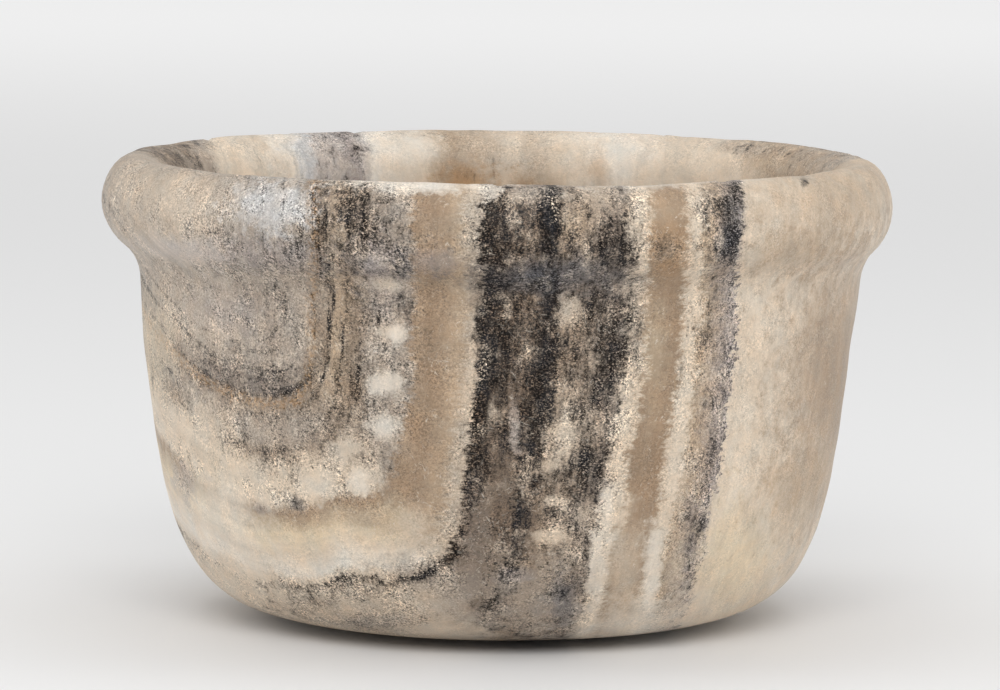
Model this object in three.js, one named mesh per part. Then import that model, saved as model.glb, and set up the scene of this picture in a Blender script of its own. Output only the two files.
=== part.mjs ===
// A round bowl cut from one block of banded alabaster.
// A small flat foot, a slightly domed base, a full heel and walls that widen a little
// upwards to a neck, where a heavy rolled collar stands out round the mouth.
// Millimetres, +Z up, origin on the resting face below the middle of the mouth.

import * as THREE from 'three';

// Outside sizes
const rimRadius = 70;
const bowlHeight = 82;
const neckHeight = 60.2;
const collarOverhang = 6.4;
const rollRadius = 9.5;
const coveRadius = 8.5;
const crestInset = 5.5;
const wallTaper = 4.2;
const footRadius = 20;
const baseDomeRadius = 500;

// Inside sizes
const collarThickness = 13;
const lipDepth = 8;
const innerTaper = 2;
const floorThickness = 10;

// How full the curves are: a higher number brings a curve closer to a square corner
const wallFullness = 3;
const heelFullness = 10;
const hollowFullness = 3;
const hollowHeelFullness = 5;

// Sideways wander of the hand-cut outline, towards +X, measured from the middle of the collar
const footShift = 0.56;
const bellyShift = 0.26;
const neckShift = 0.66;
const bellyBottomShare = 0.4;
const bellyTopShare = 0.8;

// Steps along each stretch of the outline, and round the bowl
const heelSteps = 12;
const wallSteps = 9;
const coveSteps = 4;
const rollSteps = 6;
const crownSteps = 7;
const lipSteps = 7;
const hollowWallSteps = 8;
const hollowHeelSteps = 11;
const stepsAround = 72;

// Where a curve stops being wall and starts being heel, as a share of the full radius
const heelStartShare = 0.94;
const hollowHeelStartShare = 0.9;

// Places that follow from the sizes
const neckRadius = rimRadius - collarOverhang;
const crestRadius = rimRadius - crestInset;
const mouthRadius = rimRadius - collarThickness;
const mouthHeight = bowlHeight - lipDepth;
const coveCentre = new THREE.Vector2(neckRadius + coveRadius, neckHeight);
const rollCentreRadius = rimRadius - rollRadius;
const rollRise = Math.sqrt((rollRadius + coveRadius) ** 2 - (coveCentre.x - rollCentreRadius) ** 2);
const rollCentre = new THREE.Vector2(rollCentreRadius, neckHeight + rollRise);
const coveTurn = Math.atan2(rollRise, coveCentre.x - rollCentreRadius);

// Evenly spaced numbers from first to last, without the first
function stepsBetween(first, last, count) {
  return Array.from({ length: count }, (_, i) => first + ((last - first) * (i + 1)) / count);
}

// The share of the depth at which a full curve has a given share of its radius
function depthAtRadiusShare(radiusShare, fullness, endFullness) {
  return (1 - radiusShare ** endFullness) ** (1 / fullness);
}

// A point of the outer wall: depth 0 is the neck, depth 1 the base
function outerPoint(depth) {
  const straightRadius = neckRadius - wallTaper * depth;
  const radius = straightRadius * (1 - depth ** wallFullness) ** (1 / heelFullness);
  const domeRise = (depth * (radius ** 2 - footRadius ** 2)) / (2 * baseDomeRadius);
  return new THREE.Vector2(radius, neckHeight * (1 - depth) + domeRise);
}

// A point of the hollow: depth 0 is where the lip ends, depth 1 the floor
function hollowPoint(depth) {
  const straightRadius = mouthRadius - innerTaper * depth;
  const radius = straightRadius * (1 - depth ** hollowFullness) ** (1 / hollowHeelFullness);
  return new THREE.Vector2(radius, mouthHeight - (mouthHeight - floorThickness) * depth);
}

// A quarter or less of an ellipse
function ellipsePoints(centre, halfWidth, halfHeight, firstTurn, lastTurn, count) {
  return stepsBetween(firstTurn, lastTurn, count).map(
    (turn) =>
      new THREE.Vector2(
        centre.x + halfWidth * Math.cos(turn),
        centre.y + halfHeight * Math.sin(turn),
      ),
  );
}

// The foot, the domed base and the heel, from the axis outwards
function baseProfile() {
  const firstShare = footRadius / (neckRadius - wallTaper);
  const heel = stepsBetween(firstShare, heelStartShare, heelSteps).map((share) =>
    outerPoint(depthAtRadiusShare(share, wallFullness, heelFullness)),
  );
  return [new THREE.Vector2(0, 0), new THREE.Vector2(footRadius, 0), ...heel];
}

// The wall, from the heel up to the neck
function wallProfile() {
  const wallStart = depthAtRadiusShare(heelStartShare, wallFullness, heelFullness);
  return stepsBetween(wallStart, 0, wallSteps).map(outerPoint);
}

// The collar: a cove at the neck, a roll out to the widest line, a crown up to the crest
// and a lip down into the mouth
function collarProfile() {
  const cove = ellipsePoints(
    coveCentre, coveRadius, coveRadius, Math.PI, Math.PI - coveTurn, coveSteps,
  );
  const roll = ellipsePoints(rollCentre, rollRadius, rollRadius, -coveTurn, 0, rollSteps);
  const crownCentre = new THREE.Vector2(crestRadius, rollCentre.y);
  const crown = ellipsePoints(
    crownCentre, crestInset, bowlHeight - rollCentre.y, 0, Math.PI / 2, crownSteps,
  );
  const lipCentre = new THREE.Vector2(crestRadius, mouthHeight);
  const lip = ellipsePoints(
    lipCentre, crestRadius - mouthRadius, lipDepth, Math.PI / 2, Math.PI, lipSteps,
  );
  return [...cove, ...roll, ...crown, ...lip];
}

// The hollow, from the lip down to the middle of the floor
function hollowProfile() {
  const heelStart = depthAtRadiusShare(hollowHeelStartShare, hollowFullness, hollowHeelFullness);
  const wall = stepsBetween(0, heelStart, hollowWallSteps).map(hollowPoint);
  const heel = stepsBetween(hollowHeelStartShare, 0, hollowHeelSteps).map((share) =>
    hollowPoint(depthAtRadiusShare(share, hollowFullness, hollowHeelFullness)),
  );
  return [...wall, ...heel];
}

// How far the middle of the outline wanders to +X at a height
function centreShift(height) {
  const turns = [
    { height: 0, shift: footShift },
    { height: neckHeight * bellyBottomShare, shift: bellyShift },
    { height: neckHeight * bellyTopShare, shift: bellyShift },
    { height: neckHeight, shift: neckShift },
    { height: rollCentre.y, shift: 0 },
  ];
  let shift = turns[0].shift;
  for (let i = 1; i < turns.length; i += 1) {
    const reach = THREE.MathUtils.smoothstep(height, turns[i - 1].height, turns[i].height);
    shift += (turns[i].shift - turns[i - 1].shift) * reach;
  }
  return shift;
}

// The profile turned about the upright axis, then let wander as the hand-cut bowl does
function bowlGeometry() {
  const profile = [
    ...baseProfile(),
    ...wallProfile(),
    ...collarProfile(),
    ...hollowProfile(),
  ];
  const geometry = new THREE.LatheGeometry(profile, stepsAround);
  geometry.rotateX(Math.PI / 2);
  const position = geometry.attributes.position;
  for (let i = 0; i < position.count; i += 1) {
    position.setX(i, position.getX(i) + centreShift(position.getZ(i)));
  }
  geometry.computeVertexNormals();
  return geometry;
}

const alabaster = new THREE.MeshStandardMaterial({
  color: 0xab9d8e,
  roughness: 0.45,
  metalness: 0,
});

const bowl = new THREE.Mesh(bowlGeometry(), alabaster);
bowl.name = 'bowl';

const dish = new THREE.Group();
dish.add(bowl);

export default dish;
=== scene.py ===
# A hand-cut bowl of banded alabaster on a plain pale floor.

import math

import bpy
import numpy as np
from mathutils import Matrix, Vector, noise


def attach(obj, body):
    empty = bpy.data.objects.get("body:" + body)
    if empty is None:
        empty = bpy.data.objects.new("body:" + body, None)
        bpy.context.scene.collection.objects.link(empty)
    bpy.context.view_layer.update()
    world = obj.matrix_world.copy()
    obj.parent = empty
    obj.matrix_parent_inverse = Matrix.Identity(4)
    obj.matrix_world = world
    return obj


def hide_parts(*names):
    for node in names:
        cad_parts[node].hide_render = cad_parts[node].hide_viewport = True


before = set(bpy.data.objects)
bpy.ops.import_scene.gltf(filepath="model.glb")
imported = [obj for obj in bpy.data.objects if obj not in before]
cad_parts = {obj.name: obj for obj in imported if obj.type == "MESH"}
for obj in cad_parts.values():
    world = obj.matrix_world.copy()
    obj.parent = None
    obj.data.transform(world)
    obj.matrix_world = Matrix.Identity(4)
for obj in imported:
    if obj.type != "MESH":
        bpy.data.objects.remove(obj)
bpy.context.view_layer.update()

MM = 0.001

# Sizes of the bowl, in millimetres
RIM_RADIUS = 70.0
BOWL_HEIGHT = 82.0
NECK_HEIGHT = 60.2
COLLAR_OVERHANG = 6.4
ROLL_RADIUS = 9.5
COVE_RADIUS = 8.5
CREST_INSET = 5.5
WALL_TAPER = 4.2
FOOT_RADIUS = 20.0
BASE_DOME_RADIUS = 500.0
COLLAR_THICKNESS = 13.0
LIP_DEPTH = 8.0
INNER_TAPER = 2.0
FLOOR_THICKNESS = 10.0

# Sizes that follow from these
NECK_RADIUS = RIM_RADIUS - COLLAR_OVERHANG
CREST_RADIUS = RIM_RADIUS - CREST_INSET
MOUTH_RADIUS = RIM_RADIUS - COLLAR_THICKNESS
MOUTH_HEIGHT = BOWL_HEIGHT - LIP_DEPTH
COVE_CENTRE = NECK_RADIUS + COVE_RADIUS
ROLL_CENTRE = RIM_RADIUS - ROLL_RADIUS
ROLL_RISE = math.sqrt((ROLL_RADIUS + COVE_RADIUS) ** 2 - (COVE_CENTRE - ROLL_CENTRE) ** 2)
ROLL_HEIGHT = NECK_HEIGHT + ROLL_RISE
COVE_TURN = math.atan2(ROLL_RISE, COVE_CENTRE - ROLL_CENTRE)

# How full the curves are
WALL_FULLNESS = 3.0
HEEL_FULLNESS = 10.0
HOLLOW_FULLNESS = 3.0
HOLLOW_HEEL_FULLNESS = 5.0
HEEL_START_SHARE = 0.94
HOLLOW_HEEL_START_SHARE = 0.9

# Sideways wander of the outline, as (height, shift)
CENTRE_SHIFTS = (
    (0.0, 0.56),
    (NECK_HEIGHT * 0.4, 0.26),
    (NECK_HEIGHT * 0.8, 0.26),
    (NECK_HEIGHT, 0.66),
    (74.0, 0.0),
)

# Mesh fineness, where the turn of the mesh starts, at which heights the charts are cut, and
# over how many rings the outside turns into the hollow
POINTS_AROUND = 480
OUTER_STEP = 1.35
INNER_STEP = 2.0
CURVE_SAMPLES = 400
FIRST_TURN = -math.pi
HEEL_SEAM_HEIGHT = 4.0
FLOOR_SEAM_HEIGHT = 17.0
LIP_RINGS = 6

# Places of the charts in the unit square: left, bottom, right and top of the strips, and the
# middle and radius of the discs
FRONT_CHART = (0.002, 0.585, 0.998, 0.998)
BACK_CHART = (0.002, 0.285, 0.660, 0.575)
INSIDE_CHART = (0.002, 0.010, 0.720, 0.270)
BASE_CHART = ((0.835, 0.430), 0.142)
BOTTOM_CHART = ((0.862, 0.140), 0.130)

# Hand-cut unevenness: heights and widths of its waves, how high a wave has to be to chip the
# stone, above which height there are chips, and up to which height the waves build up
SWELL = 0.45
SWELL_WIDTH = 24.0
DIMPLE = 0.16
DIMPLE_WIDTH = 6.5
CHIP_DEPTH = 1.1
CHIP_WIDTH = 3.2
CHIP_LEVEL = 0.30
CHIP_START = 77.0
FULL_RELIEF_HEIGHT = 12.0

# Floor: its size in metres, its tone, and the distances and strength of the glow far away
FLOOR_SIZE = 8.0
FLOOR_TONE = 0.8
FLOOR_ROUGHNESS = 0.7
GLOW_START = 0.1
GLOW_END = 2.2
FAR_FLOOR_GLOW = 0.42

# Camera: the picture's scale, places in millimetres, roll in radians, clips in metres
IMAGE_WIDTH = 1000
SENSOR_WIDTH = 36.0
PIXELS_PER_MM = 5.657
CAMERA_DISTANCE = 1000.0
CAMERA_HEIGHT = 155.5
TARGET_HEIGHT = 48.3
CAMERA_SIDE = 0.67
CAMERA_ROLL = 0.00985
CLIP_START = 0.05
CLIP_END = 20.0

# Lamps: name, place and size in metres, and power in watts
LAMP_TARGET = (0.0, 0.0, 0.045)
LAMPS = (
    ("front", (0.0, -1.2, 0.9), (1.0, 0.8), 11.0),
    ("left", (-1.0, 0.1, 0.35), (0.5, 0.8), 3.0),
    ("right", (1.0, 0.1, 0.35), (0.5, 0.8), 3.0),
    ("above", (0.0, 0.2, 1.1), (0.8, 0.8), 3.0),
)
WORLD_LIGHT = 0.5
WHITE = (1.0, 1.0, 1.0, 1.0)


def depth_at_share(share, fullness, end_fullness):
    return (1.0 - share ** end_fullness) ** (1.0 / fullness)


def outer_wall(depth):
    straight = NECK_RADIUS - WALL_TAPER * depth
    radius = straight * (1.0 - depth ** WALL_FULLNESS) ** (1.0 / HEEL_FULLNESS)
    dome_rise = depth * (radius ** 2 - FOOT_RADIUS ** 2) / (2.0 * BASE_DOME_RADIUS)
    return radius, NECK_HEIGHT * (1.0 - depth) + dome_rise


def hollow_wall(depth):
    straight = MOUTH_RADIUS - INNER_TAPER * depth
    radius = straight * (1.0 - depth ** HOLLOW_FULLNESS) ** (1.0 / HOLLOW_HEEL_FULLNESS)
    return radius, MOUTH_HEIGHT - (MOUTH_HEIGHT - FLOOR_THICKNESS) * depth


def arc(centre, half_sizes, first, last):
    turns = np.linspace(first, last, CURVE_SAMPLES)[1:]
    radii = centre[0] + half_sizes[0] * np.cos(turns)
    heights = centre[1] + half_sizes[1] * np.sin(turns)
    return list(zip(radii, heights))


def outer_profile():
    """From the edge of the foot to the crest of the collar."""
    points = [(0.0, 0.0), (FOOT_RADIUS, 0.0)]
    first_share = FOOT_RADIUS / (NECK_RADIUS - WALL_TAPER)
    for share in np.linspace(first_share, HEEL_START_SHARE, CURVE_SAMPLES)[1:]:
        points.append(outer_wall(depth_at_share(share, WALL_FULLNESS, HEEL_FULLNESS)))
    wall_start = depth_at_share(HEEL_START_SHARE, WALL_FULLNESS, HEEL_FULLNESS)
    for depth in np.linspace(wall_start, 0.0, CURVE_SAMPLES)[1:]:
        points.append(outer_wall(depth))
    points += arc((COVE_CENTRE, NECK_HEIGHT), (COVE_RADIUS, COVE_RADIUS), math.pi, math.pi - COVE_TURN)
    points += arc((ROLL_CENTRE, ROLL_HEIGHT), (ROLL_RADIUS, ROLL_RADIUS), -COVE_TURN, 0.0)
    crown_size = (CREST_INSET, BOWL_HEIGHT - ROLL_HEIGHT)
    points += arc((CREST_RADIUS, ROLL_HEIGHT), crown_size, 0.0, math.pi / 2)
    return points


def inner_profile():
    """From the crest of the collar to the middle of the floor."""
    lip_size = (CREST_RADIUS - MOUTH_RADIUS, LIP_DEPTH)
    points = [(CREST_RADIUS, BOWL_HEIGHT)]
    points += arc((CREST_RADIUS, MOUTH_HEIGHT), lip_size, math.pi / 2, math.pi)
    heel_start = depth_at_share(HOLLOW_HEEL_START_SHARE, HOLLOW_FULLNESS, HOLLOW_HEEL_FULLNESS)
    for depth in np.linspace(0.0, heel_start, CURVE_SAMPLES)[1:]:
        points.append(hollow_wall(depth))
    for share in np.linspace(HOLLOW_HEEL_START_SHARE, 0.0, CURVE_SAMPLES)[1:]:
        points.append(hollow_wall(depth_at_share(share, HOLLOW_FULLNESS, HOLLOW_HEEL_FULLNESS)))
    return points


def even_steps(points, step):
    """The same line with points about a step apart."""
    points = np.array(points)
    along = np.concatenate([[0.0], np.cumsum(np.hypot(*np.diff(points, axis=0).T))])
    places = np.linspace(0.0, along[-1], int(round(along[-1] / step)) + 1)
    return np.stack([np.interp(places, along, points[:, k]) for k in (0, 1)], axis=1)


def centre_shift(height):
    shift = CENTRE_SHIFTS[0][1]
    for (low, before), (high, after) in zip(CENTRE_SHIFTS, CENTRE_SHIFTS[1:]):
        reach = min(max((height - low) / (high - low), 0.0), 1.0)
        shift += (after - before) * reach * reach * (3.0 - 2.0 * reach)
    return shift


def relief(place, height):
    """How far the hand-cut skin stands off the even profile, in millimetres."""
    swell = SWELL * noise.noise(place / SWELL_WIDTH)
    dimple = DIMPLE * noise.noise(place / DIMPLE_WIDTH)
    chip = 0.0
    if height > CHIP_START:
        chip = CHIP_DEPTH * max(noise.noise(place / CHIP_WIDTH) - CHIP_LEVEL, 0.0)
    return swell + dimple - chip


def profile_normals(rings):
    """Unit vectors square to the profile, pointing away from the stone."""
    along = np.gradient(rings, axis=0)
    across = np.stack([along[:, 1], -along[:, 0]], axis=1)
    return across / np.hypot(*across.T)[:, None]


def bowl_vertices(rings):
    normals = profile_normals(rings)
    vertices = [(centre_shift(0.0), 0.0, 0.0)]
    for (radius, height), (outward, upward) in zip(rings, normals):
        shift = centre_shift(height)
        calm = min(max(height / FULL_RELIEF_HEIGHT, 0.0), 1.0)
        for step in range(POINTS_AROUND):
            turn = FIRST_TURN + step * 2.0 * math.pi / POINTS_AROUND
            place = Vector((radius * math.cos(turn), radius * math.sin(turn), height))
            lift = calm * relief(place, height)
            reach = radius + lift * outward
            level = height + lift * upward
            vertices.append((reach * math.cos(turn) + shift, reach * math.sin(turn), level))
    vertices.append((centre_shift(FLOOR_THICKNESS), 0.0, FLOOR_THICKNESS))
    return [tuple(MM * c for c in v) for v in vertices]


def strip(box, first, last, start, span):
    """A chart that lays a range of rings out as a strip."""
    left, bottom, right, top = box

    def chart(ring, step):
        across = (step - start) / span
        up = (ring - first) / (last - first)
        return left + (right - left) * across, bottom + (top - bottom) * up
    return chart


def disc(centre, radius, pole, edge):
    """A chart that lays the rings between a pole and an edge out as a disc."""
    def chart(ring, step):
        reach = radius * (ring - pole) / (edge - pole)
        turn = step * 2.0 * math.pi / POINTS_AROUND
        return centre[0] + reach * math.cos(turn), centre[1] + reach * math.sin(turn)
    return chart


def make_charts(heel, crest, floor_edge, last):
    half = POINTS_AROUND // 2
    front = strip(FRONT_CHART, heel, crest, 0, half)
    back = strip(BACK_CHART, heel, crest, half, half)
    inside = strip(INSIDE_CHART, crest, floor_edge, 0, POINTS_AROUND)
    base = disc(*BASE_CHART, -1, heel)
    bottom = disc(*BOTTOM_CHART, last, floor_edge)

    def chart_of(ring, step):
        if ring < heel:
            return base
        if ring < crest:
            return front if step < half else back
        return inside if ring < floor_edge else bottom
    return chart_of


def mark_hollow(mesh, crest, last):
    """A share on each point that tells the hollow from the outside."""
    shares = np.clip((np.arange(last) - crest) / LIP_RINGS, 0.0, 1.0)
    shares = np.concatenate([[0.0], np.repeat(shares, POINTS_AROUND), [1.0]])
    mesh.attributes.new("hollow", "FLOAT", "POINT").data.foreach_set("value", shares)


def make_bowl():
    outer = even_steps(outer_profile(), OUTER_STEP)[1:]
    inner = even_steps(inner_profile(), INNER_STEP)[1:-1]
    rings = np.concatenate([outer, inner])
    crest = len(outer) - 1
    heel = int(np.argmax(outer[:, 1] > HEEL_SEAM_HEIGHT))
    floor_edge = crest + 1 + int(np.argmax(inner[:, 1] < FLOOR_SEAM_HEIGHT))
    last = len(rings)
    chart_of = make_charts(heel, crest, floor_edge, last)
    vertices = bowl_vertices(rings)
    faces = []
    places = []
    for step in range(POINTS_AROUND):
        after = (step + 1) % POINTS_AROUND
        base = chart_of(0, step)
        faces.append((0, 1 + after, 1 + step))
        places += [base(-1, step), base(0, step + 1), base(0, step)]
        for ring in range(last - 1):
            low = 1 + ring * POINTS_AROUND
            high = low + POINTS_AROUND
            chart = chart_of(ring, step)
            faces.append((low + step, low + after, high + after, high + step))
            places += [chart(ring, step), chart(ring, step + 1)]
            places += [chart(ring + 1, step + 1), chart(ring + 1, step)]
        bottom = chart_of(last, step)
        top = 1 + (last - 1) * POINTS_AROUND
        faces.append((top + step, top + after, len(vertices) - 1))
        places += [bottom(last - 1, step), bottom(last - 1, step + 1), bottom(last, step)]
    mesh = bpy.data.meshes.new("alabaster_bowl")
    mesh.from_pydata(vertices, [], faces)
    layer = mesh.uv_layers.new(name="OFBake")
    layer.uv.foreach_set("vector", [c for place in places for c in place])
    mesh.polygons.foreach_set("use_smooth", [True] * len(mesh.polygons))
    mark_hollow(mesh, crest, last)
    bowl = bpy.data.objects.new("alabaster_bowl", mesh)
    bpy.context.scene.collection.objects.link(bowl)
    return bowl


# Sockets told by their place in the node, as several of them share a name
OBJECT_PLACE = 3
SCALE_FACTOR = 3
FLOAT_A = 2
FLOAT_B = 3
COLOUR_A = 6
COLOUR_B = 7
COLOUR_RESULT = 2
LENGTH_RESULT = 1
FACTOR_RESULT = 2

NOISE_MIDDLE = 0.5


class Nodes:
    """A short way to write a node tree. Inputs are numbers, vectors or sockets."""

    def __init__(self, material):
        self.tree = material.node_tree
        self.tree.nodes.clear()

    def add(self, kind, inputs=(), out=0, **settings):
        node = self.tree.nodes.new(kind)
        for name, value in settings.items():
            setattr(node, name, value)
        for key, value in dict(inputs).items():
            self.put(node.inputs[key], value)
        return node.outputs[out]

    def put(self, socket, value):
        if isinstance(value, bpy.types.NodeSocket):
            self.tree.links.new(value, socket)
        else:
            socket.default_value = value

    def math(self, operation, *values):
        return self.add("ShaderNodeMath", dict(enumerate(values)), operation=operation)

    def apart(self, a, b):
        return self.math("ABSOLUTE", self.minus(a, b))

    def plus(self, *terms):
        total = terms[0]
        for term in terms[1:]:
            total = self.math("ADD", total, term)
        return total

    def minus(self, a, b):
        return self.math("SUBTRACT", a, b)

    def times(self, *factors):
        total = factors[0]
        for factor in factors[1:]:
            total = self.math("MULTIPLY", total, factor)
        return total

    def atleast(self, a, b):
        return self.math("MAXIMUM", a, b)

    def join(self, x, y, z):
        return self.add("ShaderNodeCombineXYZ", {0: x, 1: y, 2: z})

    def split(self, vector):
        node = self.tree.nodes.new("ShaderNodeSeparateXYZ")
        self.put(node.inputs[0], vector)
        return tuple(node.outputs)

    def stretch(self, vector, scales):
        return self.add("ShaderNodeVectorMath", {0: vector, 1: scales}, operation="MULTIPLY")

    def shift(self, vector, offset):
        """The same place moved sideways, for a noise of its own."""
        return self.add("ShaderNodeVectorMath", {0: vector, 1: (offset, 0.0, 0.0)}, operation="ADD")

    def turn(self, vector, angle):
        """The same place seen in a frame turned in the upright plane that faces the front."""
        inputs = {"Vector": vector, "Axis": (0.0, 1.0, 0.0), "Angle": angle}
        return self.add("ShaderNodeVectorRotate", inputs, rotation_type="AXIS_ANGLE")

    def sway(self, vector, scale, detail, roughness):
        """A noise that swings about nought."""
        inputs = {"Vector": vector, "Scale": scale, "Detail": detail, "Roughness": roughness}
        return self.minus(self.add("ShaderNodeTexNoise", inputs), NOISE_MIDDLE)

    def between(self, value, low, high, top=1.0):
        """0 at low and top at high, with a soft start and end. low may be above high."""
        inputs = {"Value": value, "From Min": low, "From Max": high, "To Max": top}
        return self.add("ShaderNodeMapRange", inputs, interpolation_type="SMOOTHSTEP", clamp=True)

    def mix(self, share, a, b, blend="MIX"):
        inputs = {0: share, COLOUR_A: a, COLOUR_B: b}
        settings = {"data_type": "RGBA", "blend_type": blend}
        return self.add("ShaderNodeMix", inputs, out=COLOUR_RESULT, **settings)

    def blend(self, share, a, b):
        inputs = {0: share, FLOAT_A: a, FLOAT_B: b}
        return self.add("ShaderNodeMix", inputs, data_type="FLOAT")

    def ramp(self, value, stops):
        """A colour or a level that changes with a length, held beyond the last stop."""
        reach = stops[-1][0]
        node = self.tree.nodes.new("ShaderNodeValToRGB")
        elements = node.color_ramp.elements
        while len(elements) < len(stops):
            elements.new(0.5)
        for element, (place, level) in zip(elements, stops):
            element.position = place / reach
            element.color = level if isinstance(level, tuple) else (level, level, level, 1.0)
        self.put(node.inputs[0], self.math("DIVIDE", value, reach))
        return node.outputs[0]

    def object_place(self):
        return self.add("ShaderNodeTexCoord", out=OBJECT_PLACE)

    def length(self, vector):
        return self.add("ShaderNodeVectorMath", {0: vector}, out=LENGTH_RESULT, operation="LENGTH")

    def layers(self, value, table):
        """The colour and the share of dark mineral of a table of layers."""
        colours = [(place, colour) for place, colour, share in table]
        shares = [(place, share) for place, colour, share in table]
        return self.ramp(value, colours), self.ramp(value, shares)


# The curve of a screen, which is straight up to its knee
SCREEN_STEPS = 255.0
SCREEN_KNEE = 0.04045
SCREEN_SLOPE = 12.92
SCREEN_OFFSET = 0.055
SCREEN_POWER = 2.4


def srgb(red, green, blue):
    """A colour given in 0 to 255 steps of a screen, as linear light."""
    def linear(step):
        share = step / SCREEN_STEPS
        if share <= SCREEN_KNEE:
            return share / SCREEN_SLOPE
        return ((share + SCREEN_OFFSET) / (1.0 + SCREEN_OFFSET)) ** SCREEN_POWER
    return (linear(red), linear(green), linear(blue), 1.0)


# Colours of the stone
CHALK = srgb(222, 212, 198)
CREAM = srgb(209, 193, 173)
STRAW = srgb(212, 194, 166)
SHELL = srgb(188, 172, 153)
SAND = srgb(172, 151, 127)
TAN = srgb(150, 127, 103)
ASH = srgb(164, 151, 137)
FAWN = srgb(146, 128, 109)
HONEY = srgb(172, 132, 86)
PEWTER = srgb(132, 119, 107)
UMBER = srgb(108, 92, 77)
SOOT = srgb(80, 68, 58)
LILAC = srgb(156, 146, 141)
PEARL = srgb(202, 190, 174)
DOVE = srgb(184, 174, 166)
MIST = srgb(196, 194, 192)
SLATE = srgb(98, 97, 100)
BROWN_BLACK = srgb(24, 18, 15)
BLUE_BLACK = srgb(28, 29, 33)

# Layers that stand upright at the front: growth depth in millimetres, colour, dark mineral
UPRIGHT_LAYERS = (
    (0.0, ASH, 0.26),
    (12.0, ASH, 0.30),
    (14.0, FAWN, 0.40),
    (15.6, FAWN, 0.44),
    (17.6, SAND, 0.34),
    (21.0, FAWN, 0.40),
    (24.5, ASH, 0.34),
    (29.6, ASH, 0.32),
    (30.8, TAN, 0.16),
    (34.0, TAN, 0.08),
    (38.0, SAND, 0.06),
    (39.8, SHELL, 0.16),
    (41.1, SHELL, 0.30),
    (42.1, UMBER, 0.72),
    (46.5, UMBER, 0.58),
    (50.4, UMBER, 0.54),
    (51.6, SOOT, 0.80),
    (53.2, SOOT, 0.74),
    (55.0, FAWN, 0.48),
    (65.2, PEWTER, 0.54),
    (66.4, CREAM, 0.34),
    (68.4, CREAM, 0.16),
    (69.8, TAN, 0.04),
    (74.5, TAN, 0.04),
    (76.0, CREAM, 0.12),
    (77.6, CREAM, 0.14),
    (79.0, SAND, 0.28),
    (84.6, LILAC, 0.46),
    (85.2, CREAM, 0.02),
)

# The same layers where they lie flat, under the nodule
LYING_LAYERS = (
    (0.0, ASH, 0.28),
    (9.0, ASH, 0.32),
    (11.4, ASH, 0.36),
    (12.4, PEWTER, 0.37),
    (14.4, PEWTER, 0.37),
    (15.4, FAWN, 0.36),
    (19.0, ASH, 0.36),
    (22.0, FAWN, 0.42),
    (24.5, SHELL, 0.30),
    (29.5, CREAM, 0.24),
    (31.2, TAN, 0.12),
    (34.5, STRAW, 0.02),
    (37.4, CREAM, 0.0),
    (40.3, CHALK, 0.04),
    (41.5, CREAM, 0.16),
    (42.3, SHELL, 0.42),
    (44.8, SHELL, 0.36),
    (49.0, SHELL, 0.32),
    # The deepest layers, low on the bowl and at its base, are paler: painted light that lifts the
    # shade near the floor, as if lit from below.
    (54.0, CREAM, 0.20),
    (60.0, CREAM, 0.20),
)

# Thin dark lines along the layers: growth depth, half width, and the dark mineral that each
# adds where it stands upright and where it lies flat
DARK_LINES = (
    (5.2, 0.9, 0.06, 0.18),
    (8.6, 0.8, 0.08, 0.20),
    (11.2, 0.8, 0.10, 0.20),
    (14.4, 1.4, 0.16, 0.16),
    (16.6, 0.8, 0.26, 0.04),
    (18.9, 0.7, 0.24, 0.04),
    (21.8, 0.7, 0.22, 0.04),
    (42.4, 0.8, 0.22, 0.20),
)

# Layers at the back: distance from the left edge in millimetres, colour, dark mineral
BACK_START = -75.0
BACK_LAYERS = (
    (0.0, ASH, 0.36),
    (6.0, UMBER, 0.52),
    (13.0, UMBER, 0.50),
    (18.0, FAWN, 0.46),
    (24.0, ASH, 0.36),
    (27.5, CREAM, 0.12),
    (36.0, CREAM, 0.08),
    (39.0, CHALK, 0.10),
    (43.0, MIST, 0.20),
    (46.0, DOVE, 0.32),
    (50.5, DOVE, 0.34),
    (53.0, LILAC, 0.40),
    (54.5, DOVE, 0.30),
    (57.5, CHALK, 0.08),
    (66.0, CREAM, 0.08),
    (71.0, SAND, 0.16),
    (79.0, SHELL, 0.14),
    (84.0, CREAM, 0.10),
    (88.0, SHELL, 0.16),
    (92.0, CREAM, 0.08),
    (102.0, CHALK, 0.06),
    (112.0, CREAM, 0.06),
    (121.0, CREAM, 0.10),
    (128.0, SAND, 0.24),
    (140.0, ASH, 0.25),
)

# Wide changes of tone at the back: middle x, middle z, half width, half height, colour,
# how strongly it colours, and how much dark mineral it adds
BACK_TONES = (
    (-16.0, 79.0, 6.0, 3.0, CHALK, 0.60, -0.06),
    (-6.0, 71.5, 6.0, 5.0, HONEY, 0.80, 0.08),
    (5.5, 70.0, 4.0, 4.0, HONEY, 0.70, 0.08),
    (8.0, 72.0, 6.0, 4.5, SAND, 0.55, 0.04),
    (19.0, 75.0, 2.0, 5.0, HONEY, 0.40, 0.04),
    (24.0, 79.0, 5.0, 3.0, CHALK, 0.50, -0.06),
    (46.0, 80.6, 7.0, 1.2, PEWTER, 0.50, 0.16),
    (-10.0, 40.0, 12.0, 18.0, SHELL, 0.60, 0.06),
    (28.0, 30.0, 14.0, 12.0, SAND, 0.50, 0.06),
)

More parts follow.
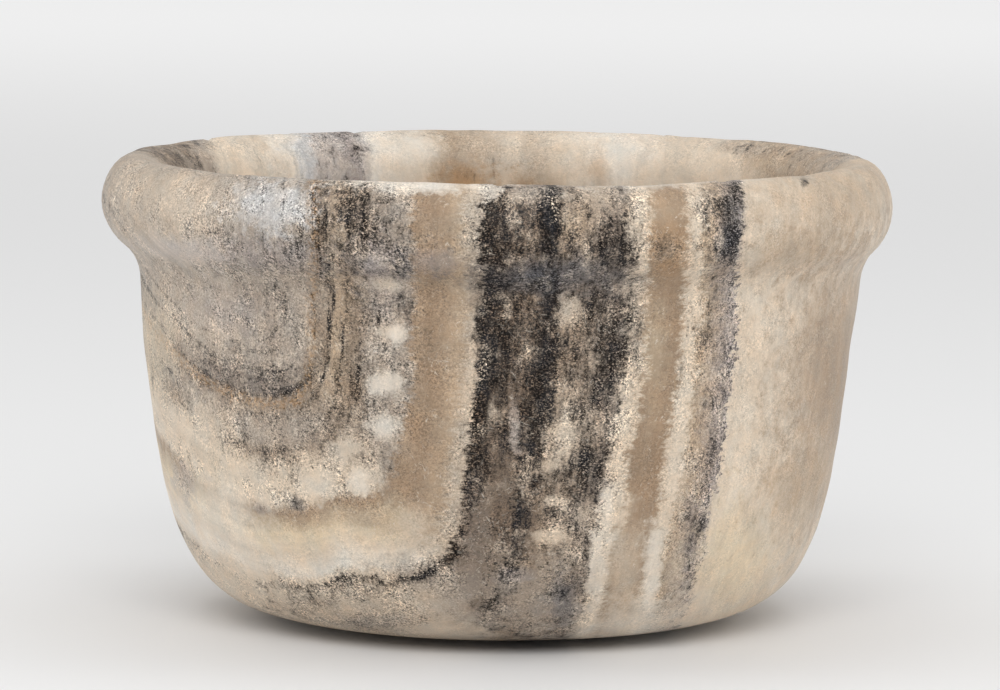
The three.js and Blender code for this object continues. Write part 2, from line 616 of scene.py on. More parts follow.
# Wide changes of tone at the front, seen straight on: middle x, middle z, half width,
# half height, colour, how strongly it colours, and how much dark mineral it adds
TONES = (
    (-57.0, 78.0, 14.0, 7.0, SHELL, 0.85, -0.16),
    (-58.0, 69.0, 12.0, 5.0, SHELL, 0.90, -0.18),
    # Painted shade under the collar: lilac and grey bands along the underside of the roll, where the
    # overhang shades the neck.
    (-53.0, 68.4, 12.0, 3.0, DOVE, 0.85, -0.08),
    (-38.0, 69.4, 12.0, 3.6, LILAC, 0.70, 0.06),
    (-24.0, 77.0, 8.0, 6.0, PEWTER, 0.50, 0.16),
    # More painted shade along the underside of the collar.
    (-22.0, 69.5, 7.0, 5.0, SLATE, 0.50, 0.06),
    (-55.0, 55.0, 10.0, 9.0, SHELL, 0.75, -0.10),
    (-61.0, 47.0, 6.0, 12.0, STRAW, 0.60, -0.06),
    (-50.0, 27.0, 8.0, 9.0, STRAW, 0.40, 0.0),
    # Painted light low on the front right: paler near the floor, as if the base were lit from below.
    (24.0, 4.5, 13.0, 6.0, CHALK, 0.80, -0.24),
    (-6.0, 4.0, 6.0, 4.0, SHELL, 0.60, -0.20),
    (-18.5, 66.0, 4.0, 9.0, LILAC, 0.50, 0.08),
    (-46.0, 58.0, 9.0, 5.0, LILAC, 0.40, -0.10),
    (-52.0, 37.0, 10.0, 6.0, CREAM, 0.90, -0.20),
    (-47.0, 21.0, 9.0, 10.0, CHALK, 0.65, -0.30),
    (-46.0, 9.0, 10.0, 7.0, CREAM, 0.90, -0.26),
    (-2.0, 10.0, 14.0, 9.0, ASH, 0.70, -0.34),
    (9.0, 9.0, 7.0, 8.0, ASH, 0.60, -0.20),
    (-22.0, 7.0, 16.0, 6.0, SHELL, 0.50, -0.10),
    # Painted sheen and shade in the neck under the collar: a bluish haze, and a blue-grey band that
    # greys the black layer where it turns in.
    (-10.5, 69.4, 6.0, 2.6, LILAC, 0.50, 0.0),
    (9.0, 67.0, 15.0, 4.2, SLATE, 0.85, -0.14),
    (-1.0, 68.0, 5.0, 16.0, SOOT, 0.40, 0.14),
    (12.5, 40.0, 6.0, 10.0, SHELL, 0.60, -0.08),
    (0.5, 29.0, 4.2, 11.5, UMBER, 0.85, -0.34),
    (-3.6, 21.0, 3.0, 9.5, PEWTER, 0.60, -0.36),
    (6.2, 25.0, 2.4, 11.0, UMBER, 0.70, -0.28),
    (12.0, 20.0, 5.0, 8.0, SHELL, 0.40, -0.12),
    (22.0, 16.0, 4.2, 13.0, CREAM, 0.60, -0.24),
    # Partly painted light: a paler tone here lifts the shade low down near the floor.
    (31.0, 14.0, 3.0, 12.0, SHELL, 0.40, -0.14),
    (-34.0, 38.0, 12.0, 4.0, ASH, 0.40, -0.06),
    (41.0, 16.0, 8.0, 12.0, STRAW, 0.85, -0.30),
    (52.0, 70.0, 14.0, 5.0, SAND, 0.75, 0.0),
    (60.0, 46.0, 14.0, 26.0, TAN, 0.85, 0.02),
    (28.0, 78.0, 4.5, 4.0, SAND, 0.70, -0.04),
    (28.6, 71.0, 4.0, 5.0, HONEY, 0.45, 0.06),
    (26.6, 54.0, 2.2, 12.0, STRAW, 0.30, -0.02),
    (-22.0, 24.2, 9.0, 2.6, SAND, 0.70, 0.0),
    (54.0, 27.0, 10.0, 10.0, SAND, 0.80, 0.0),
    (58.0, 78.0, 18.0, 8.0, SAND, 0.70, 0.0),
)

# Smaller marks with a firmer edge, in the same terms
MARKS = (
    (-37.5, 77.6, 7.6, 4.4, MIST, 0.85, -0.10),
    (-20.2, 68.4, 2.4, 3.0, LILAC, 0.70, -0.16),
    (-18.0, 64.8, 3.0, 1.4, PEARL, 0.75, -0.26),
    (-18.6, 56.8, 2.2, 1.2, PEARL, 0.60, -0.26),
    (-16.6, 56.4, 1.7, 1.7, CHALK, 0.80, -0.30),
    (-18.6, 48.2, 3.4, 2.4, CHALK, 0.80, -0.30),
    (-18.6, 40.6, 2.8, 2.6, CHALK, 0.70, -0.26),
    (-25.5, 35.8, 4.0, 2.0, PEARL, 0.45, -0.18),
    (-23.0, 30.9, 2.0, 2.2, CHALK, 0.80, -0.30),
    (-30.0, 30.0, 3.8, 2.8, PEARL, 0.70, -0.28),
    (-43.0, 30.8, 3.2, 2.2, CREAM, 0.60, -0.20),
    (-15.6, 68.0, 1.8, 2.6, SLATE, 0.50, 0.24),
    (-15.4, 61.0, 2.0, 2.6, UMBER, 0.50, 0.18),
    (-33.5, 26.0, 1.8, 1.4, SLATE, 0.50, 0.26),
    (-40.0, 24.6, 1.4, 1.2, SLATE, 0.40, 0.20),
    (-54.0, 27.0, 2.5, 4.0, LILAC, 0.55, 0.25),
    (-20.0, 5.0, 8.0, 2.0, SLATE, 0.30, 0.16),
    (-9.0, 4.5, 8.0, 1.8, CREAM, 0.70, -0.30),
    (5.5, 75.5, 2.4, 3.6, UMBER, 0.60, -0.04),
    (-2.6, 52.0, 1.1, 15.0, SOOT, 0.50, 0.22),
    (-1.5, 50.0, 1.6, 4.0, SOOT, 0.55, 0.28),
    (23.0, 60.0, 1.8, 10.0, SOOT, 0.45, 0.24),
    (20.0, 60.0, 2.4, 3.0, SOOT, 0.40, 0.20),
    (-22.8, 34.8, 1.8, 1.5, UMBER, 0.40, 0.20),
    (-13.5, 25.0, 3.0, 3.0, CREAM, 0.40, 0.0),
    (2.8, 48.0, 1.8, 4.6, UMBER, 0.60, -0.20),
    (20.3, 46.6, 2.2, 2.6, SHELL, 0.60, -0.26),
    (15.5, 26.0, 2.2, 2.8, SHELL, 0.60, -0.26),
    (34.5, 6.5, 4.0, 4.0, CREAM, 0.60, -0.20),
    (38.4, 71.5, 2.0, 3.0, SLATE, 0.50, 0.22),
    (-30.5, 62.0, 3.4, 6.0, ASH, 0.40, -0.10),
    (-14.0, 15.6, 6.0, 2.6, PEWTER, 0.50, 0.16),
    (9.0, 76.5, 1.8, 5.0, BROWN_BLACK, 0.80, 0.40),
    (13.0, 76.5, 2.6, 3.6, SAND, 0.60, -0.10),
    (19.5, 71.5, 3.4, 3.4, SOOT, 0.40, 0.20),
    (19.5, 53.0, 3.0, 5.2, SOOT, 0.40, 0.20),
    (15.0, 33.5, 3.8, 5.0, SOOT, 0.35, 0.16),
    (12.3, 61.2, 2.3, 2.6, SHELL, 0.80, -0.26),
    (5.2, 57.5, 2.6, 4.5, UMBER, 0.60, -0.10),
    (3.2, 41.0, 1.0, 5.0, DOVE, 0.45, -0.22),
    (18.8, 27.0, 1.4, 5.5, CHALK, 0.60, -0.24),
    (17.4, 16.5, 1.5, 7.0, CHALK, 0.65, -0.26),
    (30.8, 32.0, 1.8, 8.0, CHALK, 0.25, -0.08),
    (26.8, 16.0, 1.6, 9.0, CHALK, 0.65, -0.20),
    (33.2, 20.0, 1.2, 7.0, SLATE, 0.35, 0.08),
    (9.8, 22.2, 3.0, 1.6, CREAM, 0.90, -0.34),
    (9.7, 28.2, 1.9, 1.1, CREAM, 0.70, -0.26),
    (9.3, 34.4, 1.9, 1.1, SHELL, 0.60, -0.20),
    (10.2, 40.5, 2.3, 2.0, SHELL, 0.70, -0.24),
    (12.0, 10.6, 2.8, 5.0, SLATE, 0.60, 0.08),
    (15.2, 18.6, 0.9, 1.5, SOOT, 0.60, 0.25),
    (-1.2, 9.9, 4.0, 1.4, SOOT, 0.45, 0.14),
    (3.5, 15.5, 2.9, 1.3, LILAC, 0.40, 0.08),
    (12.0, 41.0, 1.6, 4.0, CREAM, 0.55, -0.16),
    (28.0, 71.5, 2.6, 2.8, FAWN, 0.60, 0.15),
    (39.3, 75.0, 2.2, 6.0, SLATE, 0.60, 0.22),
    (34.5, 78.5, 2.5, 2.5, ASH, 0.50, 0.25),
    # Pale marks along the front of the crest: a painted highlight on the lip, laid over stone worn
    # pale there.
    (6.0, 81.2, 6.0, 2.4, ASH, 0.80, -0.34),
    (-1.8, 81.6, 3.4, 2.0, CHALK, 0.70, -0.44),
    (16.0, 80.6, 4.0, 3.2, SHELL, 0.60, -0.28),
    (-15.0, 82.0, 12.0, 1.5, CHALK, 0.90, -0.24),
    (25.0, 82.2, 10.0, 1.0, CHALK, 0.60, -0.20),
    (52.0, 81.0, 0.8, 0.8, BROWN_BLACK, 0.60, 0.30),
)


# Where the upright layers start, and how they curve to the left lower down
UPRIGHT_START = -44.0
LEAN_TOP = 70.0
LEAN_CURVE = 0.00195

# Where the lying layers start, how closely they are packed, and how they dip at the left
LYING_START = 65.7
LYING_PACKING = 0.81
DIP_START = -26.5
DIP_SLOPE = 0.5
DIP_CURVE = 0.0207

# The corner between the two: how square it is, how much squarer for each millimetre of depth,
# and how far either side of it the one kind turns into the other
CORNER_SQUARENESS = 5.0
CORNER_GAIN = 0.2
CORNER_BLUR = 5.0
LEAST_DEPTH = 0.01


def growth_depth(nodes, place):
    """How deep a point lies in the layers round the nodule at the front left, and a share
    that tells the lying part of the layers from the upright part."""
    x, _, z = nodes.split(place)
    sag = nodes.atleast(nodes.minus(LEAN_TOP, z), 0.0)
    across = nodes.plus(x, nodes.times(sag, sag, LEAN_CURVE), -UPRIGHT_START)
    across = nodes.atleast(across, LEAST_DEPTH)
    out = nodes.atleast(nodes.minus(DIP_START, x), 0.0)
    dip = nodes.minus(nodes.times(out, out, DIP_CURVE), nodes.times(out, DIP_SLOPE))
    below = nodes.times(nodes.plus(nodes.minus(LYING_START, z), dip), LYING_PACKING)
    below = nodes.atleast(below, LEAST_DEPTH)
    longer = nodes.atleast(across, below)
    ratio = nodes.math("DIVIDE", nodes.math("MINIMUM", across, below), longer)
    squareness = nodes.plus(nodes.times(longer, CORNER_GAIN), CORNER_SQUARENESS)
    corner = nodes.plus(nodes.math("POWER", ratio, squareness), 1.0)
    corner = nodes.math("POWER", corner, nodes.math("DIVIDE", 1.0, squareness))
    lying = nodes.between(nodes.minus(below, across), -CORNER_BLUR, CORNER_BLUR)
    return nodes.times(longer, corner), lying


# Noises: scale for a place in millimetres, detail, roughness
WANDER_NOISE = (0.09, 4.0, 0.65)
TEETH_NOISE = (1.3, 3.0, 0.7)
THIN_NOISE = (0.9, 3.0, 0.7)
PATCH_NOISE = (0.4, 4.0, 0.7)
BLOB_NOISE = (0.4, 3.0, 0.6)
BLOT_NOISE = (0.3, 5.0, 0.65)
SPECK_NOISE = (1.3, 3.0, 0.75)
GRIT_NOISE = (3.2, 1.0, 0.5)
STREAK_NOISE = (0.9, 3.0, 0.6)
CLOUD_NOISE = (0.16, 4.0, 0.6)
GRAIN_NOISE = (2.0, 2.0, 0.8)
FIBRE_NOISE = (1.1, 2.0, 0.7)
COARSE_NOISE = (0.2, 3.0, 0.65)
TINT_NOISE = (0.25, 3.0, 0.6)
WORN_NOISE = (0.3, 3.0, 0.65)
SCRATCH_NOISE = (2.8, 2.0, 0.6)

# How noises are squeezed along x, y and z. A number under 1 draws them out.
UPRIGHT_TEETH = (0.3, 1.0, 1.0)
LYING_TEETH = (1.0, 1.0, 0.3)
BLOB_SQUEEZE = (1.0, 1.0, 0.5)
BLOT_SQUEEZE = (1.0, 1.0, 0.6)
SPECK_SQUEEZE = (1.0, 1.0, 1.1)
GRIT_SQUEEZE = (0.9, 1.0, 1.2)
STREAK_SQUEEZE = (1.0, 1.0, 0.1)
THIN_SQUEEZE = 0.06

# Where the nodule ends, where the front starts and where the back takes over: a length at
# which there is none of it, and one at which it is full
NODULE_EDGE = (24.0, 16.0)
FRONT_EDGE = (5.0, -5.0)
BACK_EDGE = (0.0, 22.0)

# How far the edge of the back strays, with the wander, with the teeth and in the hollow
MEETING_WANDER = 60.0
MEETING_TEETH = 14.0
MEETING_HOLLOW = 16.0

# How the back's layers lean and stray, and how strongly thin layers show in them
BACK_LEAN = 0.1
BACK_WANDER = 14.0
BACK_TEETH = 5.0
BACK_THIN = 3.0

# How fully the rough finish shows, outside the bowl and in the hollow
FINISH = (1.0, 0.16)

# How far the front's layers stray, outside the nodule and in it
DRIFT = (5.0, 2.2)

# How long the teeth are near the nodule, and beyond it in upright and in lying layers
NEAR_TEETH = 1.8
FAR_TEETH = (5.5, 2.6)
FAR_TEETH_EDGE = (22.0, 28.0)

# How strongly thin layers show in the dark mineral and in the light, outside the nodule and
# in it
THIN_DARK = (1.2, 3.4)
THIN_LIGHT = (0.4, 0.9)

# Patches: the distances from the middle, in half sizes, at which they start and are full,
# and how ragged their edges are
TONE_EDGE = (1.35, 0.1)
MARK_EDGE = (1.35, 0.35)
PATCH_RAGGEDNESS = 2.4


class Fields:
    """What the parts of the stone's pattern have in common. Each of these varies from place to
    place."""

    def __init__(self, nodes):
        inputs = {0: nodes.object_place(), SCALE_FACTOR: 1.0 / MM}
        place = nodes.add("ShaderNodeVectorMath", inputs, operation="SCALE")
        x, y, z = nodes.split(place)
        self.place = place
        self.hollow = nodes.add("ShaderNodeAttribute", out=FACTOR_RESULT, attribute_name="hollow")
        self.finish = nodes.blend(self.hollow, *FINISH)
        self.front = nodes.between(y, *FRONT_EDGE)
        self.depth, self.lying = growth_depth(nodes, place)
        self.nodule = nodes.between(self.depth, *NODULE_EDGE)

        # Slow wander of the layers and fine teeth across them
        self.wander = nodes.sway(place, *WANDER_NOISE)
        upright_teeth = nodes.sway(nodes.stretch(place, UPRIGHT_TEETH), *TEETH_NOISE)
        lying_teeth = nodes.sway(nodes.stretch(place, LYING_TEETH), *TEETH_NOISE)
        self.teeth = nodes.blend(self.lying, upright_teeth, lying_teeth)

        # The back's layers, counted from the left edge, and where the back takes over
        lean = nodes.times(y, BACK_LEAN)
        stray = nodes.times(self.wander, BACK_WANDER)
        self.from_left = nodes.plus(x, lean, -BACK_START, stray)
        stray = nodes.times(self.wander, MEETING_WANDER)
        meeting = nodes.plus(y, stray, nodes.times(self.teeth, MEETING_TEETH))
        meeting = nodes.plus(meeting, nodes.times(self.hollow, MEETING_HOLLOW))
        self.behind = nodes.between(meeting, *BACK_EDGE)

        # Thin lines along the layers
        across = nodes.blend(self.behind, self.depth, self.from_left)
        along = nodes.times(nodes.plus(x, z), THIN_SQUEEZE)
        layered = nodes.join(across, along, nodes.times(y, THIN_SQUEEZE))
        self.thin = nodes.sway(layered, *THIN_NOISE)

        # Specks and grit, soft clouds, a fine grain and the ragged edges of patches
        self.specks = nodes.sway(nodes.stretch(place, SPECK_SQUEEZE), *SPECK_NOISE)
        self.grit = nodes.sway(nodes.stretch(place, GRIT_SQUEEZE), *GRIT_NOISE)
        self.clouds = nodes.sway(place, *CLOUD_NOISE)
        self.grain = nodes.sway(place, *GRAIN_NOISE)
        ragged = nodes.times(nodes.sway(place, *PATCH_NOISE), PATCH_RAGGEDNESS)
        self.ragged = nodes.plus(ragged, 1.0)


def lay_patches(nodes, fields, edges, patches, ground, share):
    """Lay patches over the colour and the share of dark mineral."""
    for x, z, half_width, half_height, colour, strength, extra in patches:
        scale = (1.0 / half_width, 0.0, 1.0 / half_height)
        offset = (-x / half_width, 0.0, -z / half_height)
        inputs = {0: fields.place, 1: scale, 2: offset}
        local = nodes.add("ShaderNodeVectorMath", inputs, operation="MULTIPLY_ADD")
        distance = nodes.times(nodes.length(local), fields.ragged)
        inside = nodes.between(distance, *edges, strength)
        ground = nodes.mix(inside, ground, colour)
        if extra:
            share = nodes.math("MULTIPLY_ADD", inside, extra / strength, share)
    return ground, share


def front_layers(nodes, fields, frayed):
    """The colour and the share of dark mineral at the front."""
    upright_colour, upright_share = nodes.layers(frayed, UPRIGHT_LAYERS)
    lying_colour, lying_share = nodes.layers(frayed, LYING_LAYERS)
    ground = nodes.mix(fields.lying, upright_colour, lying_colour)
    share = nodes.blend(fields.lying, upright_share, lying_share)
    for line, half_width, upright_extra, lying_extra in DARK_LINES:
        on_line = nodes.between(nodes.apart(frayed, line), half_width, 0.0)
        extra = nodes.blend(fields.lying, upright_extra, lying_extra)
        share = nodes.math("MULTIPLY_ADD", on_line, extra, share)
    thin_dark = nodes.blend(fields.nodule, *THIN_DARK)
    share = nodes.plus(share, nodes.times(fields.thin, share, thin_dark))
    ground, share = lay_patches(nodes, fields, TONE_EDGE, TONES, ground, share)
    return lay_patches(nodes, fields, MARK_EDGE, MARKS, ground, share)


# A row of pale blobs along one lying layer: the depths between which it lies, the level of
# noise that makes a blob, how pale the blobs are, and how they clear the dark mineral while
# the stone between them darkens
BLOB_ROW_START = (21.5, 24.5)
BLOB_ROW_END = (30.8, 29.2)
BLOB_EDGE = (-0.08, 0.10)
BLOB_PALENESS = 0.55
BLOB_BALANCE = 0.3
BLOB_CLEARING = 0.24


def pale_blobs(nodes, fields, frayed, ground, share):
    start = nodes.between(frayed, *BLOB_ROW_START)
    in_row = nodes.times(start, nodes.between(frayed, *BLOB_ROW_END))
    in_row = nodes.times(in_row, fields.lying)
    blobs = nodes.sway(nodes.stretch(fields.place, BLOB_SQUEEZE), *BLOB_NOISE)
    blob = nodes.between(blobs, *BLOB_EDGE)
    ground = nodes.mix(nodes.times(in_row, blob, BLOB_PALENESS), ground, CREAM)
    change = nodes.times(in_row, nodes.minus(blob, BLOB_BALANCE), BLOB_CLEARING)
    return ground, nodes.minus(share, change)


def back_layers(nodes, fields):
    """The colour and the share of dark mineral at the back, which has layers of its own."""
    from_left = nodes.plus(fields.from_left, nodes.times(fields.teeth, BACK_TEETH))
    ground, share = nodes.layers(from_left, BACK_LAYERS)
    share = nodes.plus(share, nodes.times(fields.thin, share, BACK_THIN))
    return lay_patches(nodes, fields, TONE_EDGE, BACK_TONES, ground, share)


# The ground clears where the blots are weakest
CLEARING_EDGE = (0.0, -0.16)
CLEARING = 0.7


def clear_ground(nodes, blots, ground, share):
    clearing = nodes.between(blots, *CLEARING_EDGE, CLEARING)
    return nodes.mix(nodes.times(clearing, nodes.atleast(share, 0.0)), ground, CREAM)


# Dark mineral: how much blots, speckle and streaks count, outside the nodule and in it or in
# upright and in lying layers, how the share sets the level that the sum has to pass, and how
# soft the edges are
GRIT_IN_SPECKLE = 0.4
SPECKLE_WEIGHT = 0.85
BLOT_WEIGHT = (1.0, 0.5)
STREAK_WEIGHT = (0.6, 0.0)
EVEN_SHARE = 0.5
LEVEL_REACH = 0.66
LEVEL_RISE = 0.01
INK_EDGE = (-0.16, 0.18)
LEAST_SHARE_EDGE = (0.0, 0.12)

# Pale gaps in the dark mineral, and the most that it covers
SPECKS_IN_GAPS = 0.3
GAP_EDGE = (0.02, 0.18)
GAP_STRENGTH = 0.6
MOST_INK = 0.96


def dark_mineral(nodes, fields, blots, share):
    """How much the dark mineral covers, in clouded blots, speckle and streaks."""
    grit = nodes.times(fields.grit, GRIT_IN_SPECKLE)
    speckle = nodes.times(nodes.plus(fields.specks, grit), fields.finish)
    weight = nodes.blend(nodes.times(fields.nodule, fields.front), *BLOT_WEIGHT)
    streaks = nodes.sway(nodes.stretch(fields.place, STREAK_SQUEEZE), *STREAK_NOISE)
    streaks = nodes.times(streaks, nodes.blend(fields.lying, *STREAK_WEIGHT))
    speckle = nodes.times(speckle, SPECKLE_WEIGHT)
    pattern = nodes.plus(nodes.times(blots, weight), speckle, streaks)
    level = nodes.plus(nodes.times(nodes.minus(EVEN_SHARE, share), LEVEL_REACH), LEVEL_RISE)
    ink = nodes.between(nodes.minus(pattern, level), *INK_EDGE)
    specks = nodes.times(fields.specks, SPECKS_IN_GAPS)
    gaps = nodes.between(nodes.plus(fields.grit, specks), *GAP_EDGE, GAP_STRENGTH)
    enough = nodes.between(share, *LEAST_SHARE_EDGE)
    return nodes.times(ink, enough, nodes.minus(MOST_INK, gaps))


# Rust along the edge of the nodule: its depth in upright and in lying layers, how it fades
# with the distance from there, the level of specks that it shows on, and its strength
RUST_DEPTH = (13.4, 15.8)
RUST_EDGE = (1.4, 0.2)
RUST_SPECKS = (-0.04, 0.08)
RUST_STRENGTH = 0.36


def rust_amount(nodes, fields, frayed):
    near = nodes.apart(frayed, nodes.blend(fields.lying, *RUST_DEPTH))
    speckled = nodes.between(fields.specks, *RUST_SPECKS)
    return nodes.times(nodes.between(near, *RUST_EDGE), speckled, fields.front, RUST_STRENGTH)


# Woolly fibres: where in the noise they are read, and how thin they are
FIBRE_OFFSETS = (13.0, 57.0)
FIBRE_EDGE = (0.05, 0.0)


def woolly(nodes, fields):
    """Pale fibres less dark ones."""
    fibres = []
    for offset in FIBRE_OFFSETS:
        noise_there = nodes.sway(nodes.shift(fields.place, offset), *FIBRE_NOISE)
        fibres.append(nodes.between(nodes.math("ABSOLUTE", noise_there), *FIBRE_EDGE))
    return nodes.minus(*fibres)


# The grain is coarse where the stone is dark, and in patches
COARSE_OFFSET = 77.0
LEAST_COARSE = 0.12
COARSE_IN_DARK = 1.8
COARSE_PATCH_EDGE = (-0.12, 0.14)
COARSE_BETWEEN_PATCHES = 0.5

# How strongly each pattern changes the light, and how dark it may get
CLOUD_LIGHT = 0.5
SPECK_LIGHT = 1.3
GRAIN_LIGHT = 2.6
GRIT_LIGHT = 3.2
WOOL_LIGHT = 0.7
LEAST_LIGHT = 0.15
TINT = 0.2


def mottling(nodes, fields, wool, share):
    """What the colour is multiplied by: soft mottling, thin layers and a woolly grain, a
    little warmer in one place and cooler in another."""
    coarse = nodes.times(nodes.atleast(share, 0.0), COARSE_IN_DARK)
    coarse = nodes.plus(LEAST_COARSE, coarse)
    granular = nodes.sway(nodes.shift(fields.place, COARSE_OFFSET), *COARSE_NOISE)
    granular = nodes.between(granular, *COARSE_PATCH_EDGE)
    granular = nodes.plus(COARSE_BETWEEN_PATCHES, granular)
    coarse = nodes.times(coarse, fields.finish, granular)
    light = nodes.plus(
        1.0,
        nodes.times(fields.clouds, CLOUD_LIGHT),
        nodes.times(fields.specks, coarse, SPECK_LIGHT),
        nodes.times(fields.grain, coarse, GRAIN_LIGHT),
        nodes.times(fields.grit, coarse, GRIT_LIGHT),
        nodes.times(wool, coarse, WOOL_LIGHT),
        nodes.times(fields.thin, nodes.blend(fields.nodule, *THIN_LIGHT)),
    )
    light = nodes.atleast(light, LEAST_LIGHT)
    tint = nodes.times(nodes.sway(fields.place, *TINT_NOISE), TINT)
    warm = nodes.plus(1.0, tint)
    cool = nodes.minus(1.0, tint)
    return nodes.join(nodes.times(light, warm), light, nodes.times(light, cool))


# Pale scratches and flecks: the angle of each set and how far it is drawn out, the level of
# noise that makes one, and its strength on pale stone and on dark mineral
SCRATCHES = ((0.55, 0.2), (-0.35, 0.28), (1.35, 0.16), (2.2, 0.35))
SCRATCH_EDGE = (0.11, 0.24)
SCRATCH_STRENGTH = (0.55, 0.22)

# Where the skin of the stone is worn, there are more of them
WORN_OFFSET = 31.0
WORN_EDGE = (-0.02, 0.16)
LEAST_WORN = 0.25
WORN_MORE = 0.75


def scratched(nodes, fields, ink, colour):
    worn = nodes.sway(nodes.shift(fields.place, WORN_OFFSET), *WORN_NOISE)
    worn = nodes.plus(LEAST_WORN, nodes.between(worn, *WORN_EDGE, WORN_MORE))
    strength = nodes.blend(ink, *SCRATCH_STRENGTH)
    for angle, length in SCRATCHES:
        skewed = nodes.stretch(nodes.turn(fields.place, angle), (1.0, 1.0, length))
        mark = nodes.between(nodes.sway(skewed, *SCRATCH_NOISE), *SCRATCH_EDGE)
        mark = nodes.times(mark, strength, worn, fields.finish)
        colour = nodes.mix(mark, colour, CHALK)
    return colour


# The dark mineral is bluer in one place and browner in another
INK_HUE_EDGE = (-0.06, 0.08)

# Polish, and how much the clouds and the grain dull it
ROUGHNESS = 0.44
CLOUD_ROUGHNESS = 0.3
GRAIN_ROUGHNESS = 0.3

# How strongly light glances off pale stone and off dark mineral
GLANCE = (0.35, 0.1)

# How much light goes into the stone, and how far in metres
INNER_LIGHT = 0.12
INNER_LIGHT_REACH = (0.0012, 0.0009, 0.0007)

# Relief in the shading, beside the grain, and its height in millimetres
WOOL_RELIEF = 0.2
SPECK_RELIEF = 0.6
RELIEF_STRENGTH = 0.7
RELIEF_HEIGHT = 0.12


def stone_material():
    material = bpy.data.materials.new("banded_alabaster")
    material.use_nodes = True
    nodes = Nodes(material)
    fields = Fields(nodes)

    # Layers, which meet at the sides
    beyond_nodule = nodes.between(fields.depth, *FAR_TEETH_EDGE)
    fray = nodes.blend(beyond_nodule, NEAR_TEETH, nodes.blend(fields.lying, *FAR_TEETH))
    drift = nodes.times(fields.wander, nodes.blend(fields.nodule, *DRIFT))
    frayed = nodes.plus(fields.depth, drift, nodes.times(fields.teeth, fray))
    ground, share = front_layers(nodes, fields, frayed)
    ground, share = pale_blobs(nodes, fields, frayed, ground, share)
    back_ground, back_share = back_layers(nodes, fields)
    ground = nodes.mix(fields.behind, ground, back_ground)
    share = nodes.blend(fields.behind, share, back_share)

    # Dark mineral and rust
    blots = nodes.sway(nodes.stretch(fields.place, BLOT_SQUEEZE), *BLOT_NOISE)
    ground = clear_ground(nodes, blots, ground, share)
    ink = dark_mineral(nodes, fields, blots, share)
    hue = nodes.between(fields.clouds, *INK_HUE_EDGE)
    colour = nodes.mix(ink, ground, nodes.mix(hue, BROWN_BLACK, BLUE_BLACK))
    colour = nodes.mix(rust_amount(nodes, fields, frayed), colour, HONEY)

    # Mottling and wear
    wool = woolly(nodes, fields)
    colour = nodes.mix(1.0, colour, mottling(nodes, fields, wool, share), "MULTIPLY")
    colour = scratched(nodes, fields, ink, colour)

    shader = nodes.tree.nodes.new("ShaderNodeBsdfPrincipled")
    nodes.put(shader.inputs["Base Color"], colour)
    cloud_roughness = nodes.times(fields.clouds, CLOUD_ROUGHNESS)
    grain_roughness = nodes.times(fields.grain, GRAIN_ROUGHNESS)
    roughness = nodes.plus(ROUGHNESS, cloud_roughness, grain_roughness)
    nodes.put(shader.inputs["Roughness"], roughness)
    nodes.put(shader.inputs["Specular IOR Level"], nodes.blend(ink, *GLANCE))
    shader.inputs["Subsurface Weight"].default_value = INNER_LIGHT
    shader.inputs["Subsurface Radius"].default_value = INNER_LIGHT_REACH
    shader.inputs["Subsurface Scale"].default_value = 1.0
    speck_relief = nodes.times(fields.specks, SPECK_RELIEF)
    height = nodes.plus(fields.grain, nodes.times(wool, WOOL_RELIEF), speck_relief)
    bump = {"Height": height, "Strength": RELIEF_STRENGTH, "Distance": RELIEF_HEIGHT * MM}
    nodes.put(shader.inputs["Normal"], nodes.add("ShaderNodeBump", bump))
    output = nodes.tree.nodes.new("ShaderNodeOutputMaterial")
    nodes.put(output.inputs["Surface"], shader.outputs[0])
    return material


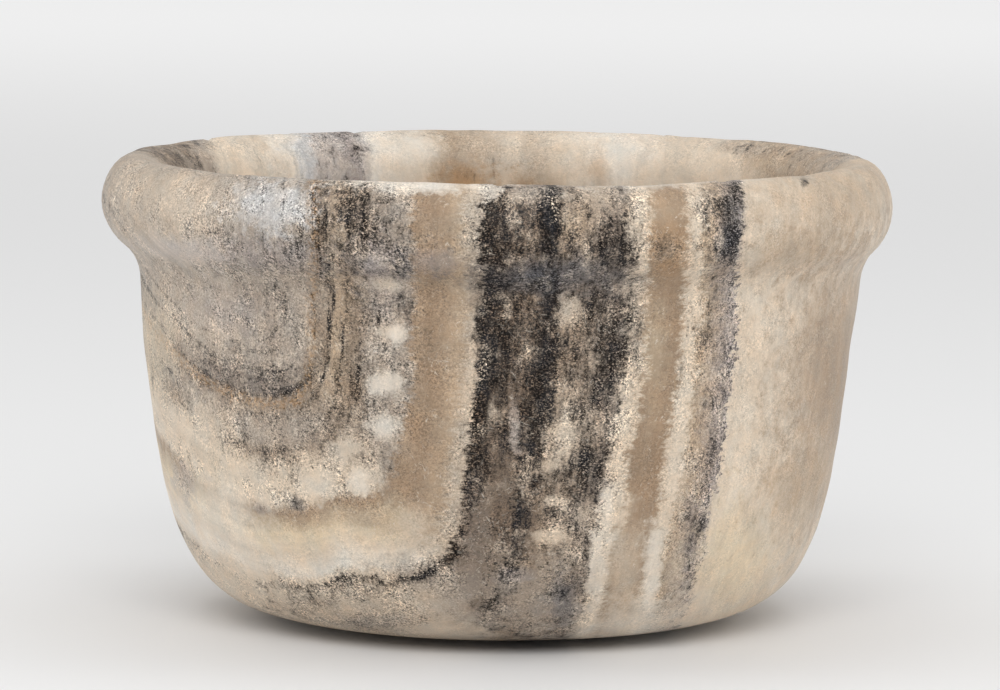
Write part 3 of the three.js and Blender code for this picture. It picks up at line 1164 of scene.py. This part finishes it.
def floor_material():
    """Pale, and for the eye as bright far away as it is near the bowl."""
    material = bpy.data.materials.new("pale_floor")
    material.use_nodes = True
    nodes = Nodes(material)
    shader = nodes.tree.nodes.new("ShaderNodeBsdfPrincipled")
    shader.inputs["Base Color"].default_value = (FLOOR_TONE, FLOOR_TONE, FLOOR_TONE, 1.0)
    shader.inputs["Roughness"].default_value = FLOOR_ROUGHNESS
    shader.inputs["Emission Color"].default_value = WHITE
    rays = nodes.tree.nodes.new("ShaderNodeLightPath")
    seen = [rays.outputs[name] for name in ("Is Camera Ray", "Is Glossy Ray", "Is Transmission Ray")]
    distance = nodes.length(nodes.object_place())
    far = nodes.times(nodes.between(distance, GLOW_START, GLOW_END), FAR_FLOOR_GLOW)
    nodes.put(shader.inputs["Emission Strength"], nodes.times(nodes.plus(*seen), far))
    output = nodes.tree.nodes.new("ShaderNodeOutputMaterial")
    nodes.put(output.inputs["Surface"], shader.outputs[0])
    return material


def make_floor():
    half = FLOOR_SIZE / 2.0
    corners = [(-half, -half, 0.0), (half, -half, 0.0), (half, half, 0.0), (-half, half, 0.0)]
    mesh = bpy.data.meshes.new("floor")
    mesh.from_pydata(corners, [], [(0, 1, 2, 3)])
    floor = bpy.data.objects.new("floor", mesh)
    bpy.context.scene.collection.objects.link(floor)
    mesh.materials.append(floor_material())


def aim(item, place, target, roll=0.0):
    toward = (Vector(target) - Vector(place)).to_track_quat("-Z", "Y").to_matrix().to_4x4()
    item.matrix_world = Matrix.Translation(place) @ toward @ Matrix.Rotation(roll, 4, "Z")


def make_camera():
    data = bpy.data.cameras.new("camera")
    data.sensor_width = SENSOR_WIDTH
    data.lens = PIXELS_PER_MM * CAMERA_DISTANCE * SENSOR_WIDTH / IMAGE_WIDTH
    data.clip_start = CLIP_START
    data.clip_end = CLIP_END
    camera = bpy.data.objects.new("camera", data)
    bpy.context.scene.collection.objects.link(camera)
    place = (CAMERA_SIDE * MM, -CAMERA_DISTANCE * MM, CAMERA_HEIGHT * MM)
    target = (CAMERA_SIDE * MM, 0.0, TARGET_HEIGHT * MM)
    aim(camera, place, target, CAMERA_ROLL)
    bpy.context.scene.camera = camera


def make_lamp(name, place, size, power):
    data = bpy.data.lights.new(name, "AREA")
    data.shape = "RECTANGLE"
    data.size, data.size_y = size
    data.energy = power
    lamp = bpy.data.objects.new(name, data)
    bpy.context.scene.collection.objects.link(lamp)
    aim(lamp, place, LAMP_TARGET)


def make_lights():
    for lamp in LAMPS:
        make_lamp(*lamp)
    world = bpy.data.worlds.new("studio")
    bpy.context.scene.world = world
    world.use_nodes = True
    background = world.node_tree.nodes["Background"]
    background.inputs["Color"].default_value = WHITE
    background.inputs["Strength"].default_value = WORLD_LIGHT


make_camera()
bowl = make_bowl()
bowl.data.materials.append(stone_material())
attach(bowl, "root")
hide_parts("bowl")
make_floor()
make_lights()
bpy.context.scene.view_settings.view_transform = "Standard"
